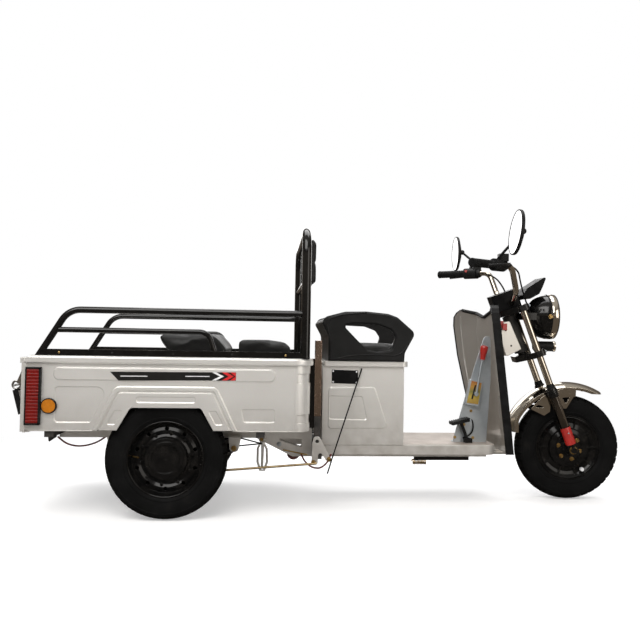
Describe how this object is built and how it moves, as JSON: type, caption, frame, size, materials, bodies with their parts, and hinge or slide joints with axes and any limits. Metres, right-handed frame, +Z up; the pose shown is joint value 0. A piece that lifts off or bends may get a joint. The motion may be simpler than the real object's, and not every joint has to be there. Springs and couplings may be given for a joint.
{
  "type": "electric cargo tricycle",
  "caption": "Electric cargo tricycle with a railed pressed-steel tub, seat box, footboard, leg shield and a sprung fork with a round headlamp.",
  "frame": {"origin": "ground under the middle of the whole tricycle, wheels standing on z = 0", "axes": "+X forward to the front wheel, +Y to the rider's left, +Z up"},
  "size_m": [2.2435, 0.9967, 1.0969],
  "materials": {
    "silver_paint": "satin metallic silver paint",
    "black_paint": "gloss black paint",
    "dark_steel": "dark underbody paint with dust",
    "tyre": "matte black rubber",
    "black_rim": "gloss black steel",
    "black_rubber": "matte black rubber",
    "black_plastic": "moulded black plastic",
    "black_vinyl": "black vinyl upholstery",
    "chrome": "polished chrome",
    "polished": "polished aluminium",
    "red_lens": "red lamp lens",
    "amber_lens": "amber reflector",
    "lamp_glass": "clear lens",
    "mirror": "silvered glass",
    "grey_steel": "bare zinc-plated steel",
    "red_lead": "red insulated cable"
  },
  "bodies": {
    "chassis": {"frame_rails": "silver_paint", "frame_cross_members": "silver_paint", "headstock": "silver_paint", "drive_axle": "dark_steel", "leaf_springs": "dark_steel", "tub_floor": "silver_paint", "tub_side_right": "silver_paint", "tub_side_left": "silver_paint", "tub_front": "silver_paint", "tail_lamps": "red_lens", "side_reflectors": "amber_lens", "top_rails": "black_paint", "lower_rails": "black_paint", "base_rails": "black_paint", "hoop": "black_paint", "back_cushion": "black_vinyl", "bench_frame": "black_paint", "bench_back": "black_vinyl", "bench_cushion": "black_vinyl", "seat_box": "silver_paint", "battery": "black_plastic", "seat_posts": "dark_steel", "footboard": "silver_paint", "leg_shield": "silver_paint", "shield_trim": "black_rubber", "control_stand": "grey_steel", "shift_lever": "grey_steel", "brake_pedal": "black_rubber", "brake_rods": "grey_steel", "spring_hangers": "grey_steel", "pivot_brackets": "silver_paint", "head_tube": "dark_steel", "red_leads": "red_lead", "stay_rod": "black_rubber"},
    "seat": {"seat_lid": "silver_paint", "driver_seat": "black_plastic", "seat_pad": "black_vinyl"},
    "tailgate": {"tailgate": "silver_paint", "tailgate_latches": "chrome"},
    "steering": {"triple_clamps": "black_paint", "fork_tubes": "chrome", "fork_sliders": "polished", "handlebar": "chrome", "grips": "black_rubber", "bar_controls": "black_plastic", "mirrors": "black_plastic", "mirror_glasses": "mirror", "headlamp_shell": "chrome", "headlamp_lens": "lamp_glass", "marker_lamp": "chrome", "instrument_pod": "black_plastic", "fly_screen": "black_plastic", "front_fender": "chrome"},
    "front_wheel": {"front_tyre": "tyre", "front_rim": "black_rim"},
    "rear_wheel_right": {"rear_right_tyre": "tyre", "rear_right_rim": "black_rim"},
    "rear_wheel_left": {"rear_left_tyre": "tyre", "rear_left_rim": "black_rim"}
  },
  "joints": [
    {"name": "steering_turn", "type": "hinge", "parent": "chassis", "child": "steering", "pos_m": [0.86855, 0, 0.19095], "axis": [-0.3512, 0, 0.9363], "range_deg": [-35.55, 44.45]},
    {"name": "front_wheel_spin", "type": "hinge", "parent": "steering", "child": "front_wheel", "pos_m": [0.90589, -0.0031, 0.20496], "axis": [0.0726, 0.997, 0.0272], "continuous": true},
    {"name": "rear_wheel_right_spin", "type": "hinge", "parent": "chassis", "child": "rear_wheel_right", "pos_m": [-0.62, -0.298, 0.205], "axis": [0, 1, 0], "continuous": true},
    {"name": "rear_wheel_left_spin", "type": "hinge", "parent": "chassis", "child": "rear_wheel_left", "pos_m": [-0.62, 0.298, 0.205], "axis": [0, 1, 0], "continuous": true},
    {"name": "tailgate_drop", "type": "hinge", "parent": "chassis", "child": "tailgate", "pos_m": [-1.09, 0, 0.296], "axis": [0, -1, 0], "range_deg": [0, 160]},
    {"name": "seat_lift", "type": "hinge", "parent": "chassis", "child": "seat", "pos_m": [-0.089, 0, 0.528], "axis": [0, -1, 0], "range_deg": [0, 40]}
  ]
}
